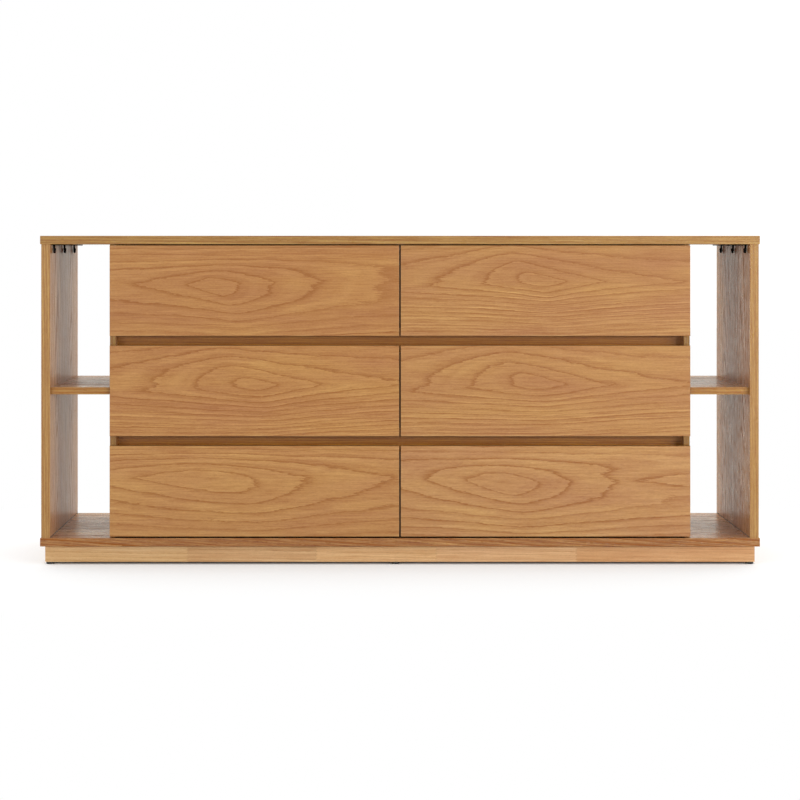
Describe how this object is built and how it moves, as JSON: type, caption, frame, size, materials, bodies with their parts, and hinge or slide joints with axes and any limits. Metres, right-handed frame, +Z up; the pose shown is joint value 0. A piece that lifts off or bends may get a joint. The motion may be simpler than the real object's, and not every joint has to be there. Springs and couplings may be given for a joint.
{
  "type": "six-drawer dresser",
  "caption": "Low wide oak veneer dresser with handle-less drawers in two columns, finger gaps between the rows, and an open bay with a shelf and hooks at each end.",
  "frame": {"origin": "on the floor, under the middle of the dresser", "axes": "+X to the right seen from the front, along the width; +Y from front to back; +Z up; the drawers open towards -Y"},
  "size_m": [1.8, 0.45, 0.823],
  "materials": {
    "oak_veneer": "satin lacquered oak veneer on board",
    "oak_solid": "satin lacquered solid oak",
    "drawer_box_wood": "satin lacquered birch boards",
    "back_board": "veneered thin board, satin",
    "beech_dowel": "raw turned beech",
    "black_steel": "matt black powder coat",
    "zinc_steel": "zinc-plated rolled steel",
    "black_plastic": "moulded matt plastic"
  },
  "bodies": {
    "carcass": {"top_panel": "oak_veneer", "bottom_panel": "oak_veneer", "left_end_panel": "oak_veneer", "right_end_panel": "oak_veneer", "left_case_side": "oak_veneer", "right_case_side": "oak_veneer", "centre_divider": "oak_veneer", "back_panel": "back_board", "left_open_shelf": "oak_veneer", "right_open_shelf": "oak_veneer", "lower_grip_rail": "oak_solid", "upper_grip_rail": "oak_solid", "plinth_front_board": "oak_solid", "plinth_back_board": "oak_solid", "plinth_end_boards": "oak_solid", "plinth_cross_rails": "oak_solid", "glide_feet": "black_plastic", "left_hook_rail": "black_steel", "right_hook_rail": "black_steel", "hanging_hooks": "black_steel", "hook_rail_screws": "black_steel", "back_panel_screws": "zinc_steel", "joint_dowels": "beech_dowel", "case_slide_channels": "zinc_steel"},
    "bottom_left_drawer": {"bottom_left_drawer_front": "oak_veneer", "bottom_left_drawer_sides": "drawer_box_wood", "bottom_left_drawer_ends": "drawer_box_wood", "bottom_left_drawer_bottom": "back_board", "bottom_left_drawer_slides": "zinc_steel"},
    "bottom_left_slide_middles": {"bottom_left_middle_slides": "zinc_steel"},
    "bottom_right_drawer": {"bottom_right_drawer_front": "oak_veneer", "bottom_right_drawer_sides": "drawer_box_wood", "bottom_right_drawer_ends": "drawer_box_wood", "bottom_right_drawer_bottom": "back_board", "bottom_right_drawer_slides": "zinc_steel"},
    "bottom_right_slide_middles": {"bottom_right_middle_slides": "zinc_steel"},
    "middle_left_drawer": {"middle_left_drawer_front": "oak_veneer", "middle_left_drawer_sides": "drawer_box_wood", "middle_left_drawer_ends": "drawer_box_wood", "middle_left_drawer_bottom": "back_board", "middle_left_drawer_slides": "zinc_steel"},
    "middle_left_slide_middles": {"middle_left_middle_slides": "zinc_steel"},
    "middle_right_drawer": {"middle_right_drawer_front": "oak_veneer", "middle_right_drawer_sides": "drawer_box_wood", "middle_right_drawer_ends": "drawer_box_wood", "middle_right_drawer_bottom": "back_board", "middle_right_drawer_slides": "zinc_steel"},
    "middle_right_slide_middles": {"middle_right_middle_slides": "zinc_steel"},
    "top_left_drawer": {"top_left_drawer_front": "oak_veneer", "top_left_drawer_sides": "drawer_box_wood", "top_left_drawer_ends": "drawer_box_wood", "top_left_drawer_bottom": "back_board", "top_left_drawer_slides": "zinc_steel"},
    "top_left_slide_middles": {"top_left_middle_slides": "zinc_steel"},
    "top_right_drawer": {"top_right_drawer_front": "oak_veneer", "top_right_drawer_sides": "drawer_box_wood", "top_right_drawer_ends": "drawer_box_wood", "top_right_drawer_bottom": "back_board", "top_right_drawer_slides": "zinc_steel"},
    "top_right_slide_middles": {"top_right_middle_slides": "zinc_steel"}
  },
  "joints": [
    {"name": "bottom_left_drawer_slide", "type": "slide", "parent": "carcass", "child": "bottom_left_drawer", "axis": [0, -1, 0], "range_m": [0, 0.38]},
    {"name": "bottom_left_middle_slide", "type": "slide", "parent": "carcass", "child": "bottom_left_slide_middles", "axis": [0, -1, 0], "range_m": [0, 0.19]},
    {"name": "bottom_right_drawer_slide", "type": "slide", "parent": "carcass", "child": "bottom_right_drawer", "axis": [0, -1, 0], "range_m": [0, 0.38]},
    {"name": "bottom_right_middle_slide", "type": "slide", "parent": "carcass", "child": "bottom_right_slide_middles", "axis": [0, -1, 0], "range_m": [0, 0.19]},
    {"name": "middle_left_drawer_slide", "type": "slide", "parent": "carcass", "child": "middle_left_drawer", "axis": [0, -1, 0], "range_m": [0, 0.38]},
    {"name": "middle_left_middle_slide", "type": "slide", "parent": "carcass", "child": "middle_left_slide_middles", "axis": [0, -1, 0], "range_m": [0, 0.19]},
    {"name": "middle_right_drawer_slide", "type": "slide", "parent": "carcass", "child": "middle_right_drawer", "axis": [0, -1, 0], "range_m": [0, 0.38]},
    {"name": "middle_right_middle_slide", "type": "slide", "parent": "carcass", "child": "middle_right_slide_middles", "axis": [0, -1, 0], "range_m": [0, 0.19]},
    {"name": "top_left_drawer_slide", "type": "slide", "parent": "carcass", "child": "top_left_drawer", "axis": [0, -1, 0], "range_m": [0, 0.38]},
    {"name": "top_left_middle_slide", "type": "slide", "parent": "carcass", "child": "top_left_slide_middles", "axis": [0, -1, 0], "range_m": [0, 0.19]},
    {"name": "top_right_drawer_slide", "type": "slide", "parent": "carcass", "child": "top_right_drawer", "axis": [0, -1, 0], "range_m": [0, 0.38]},
    {"name": "top_right_middle_slide", "type": "slide", "parent": "carcass", "child": "top_right_slide_middles", "axis": [0, -1, 0], "range_m": [0, 0.19]}
  ],
  "couplings": [
    {"joint": "bottom_left_middle_slide", "follows": "bottom_left_drawer_slide", "ratio": 0.5},
    {"joint": "bottom_right_middle_slide", "follows": "bottom_right_drawer_slide", "ratio": 0.5},
    {"joint": "middle_left_middle_slide", "follows": "middle_left_drawer_slide", "ratio": 0.5},
    {"joint": "middle_right_middle_slide", "follows": "middle_right_drawer_slide", "ratio": 0.5},
    {"joint": "top_left_middle_slide", "follows": "top_left_drawer_slide", "ratio": 0.5},
    {"joint": "top_right_middle_slide", "follows": "top_right_drawer_slide", "ratio": 0.5}
  ]
}
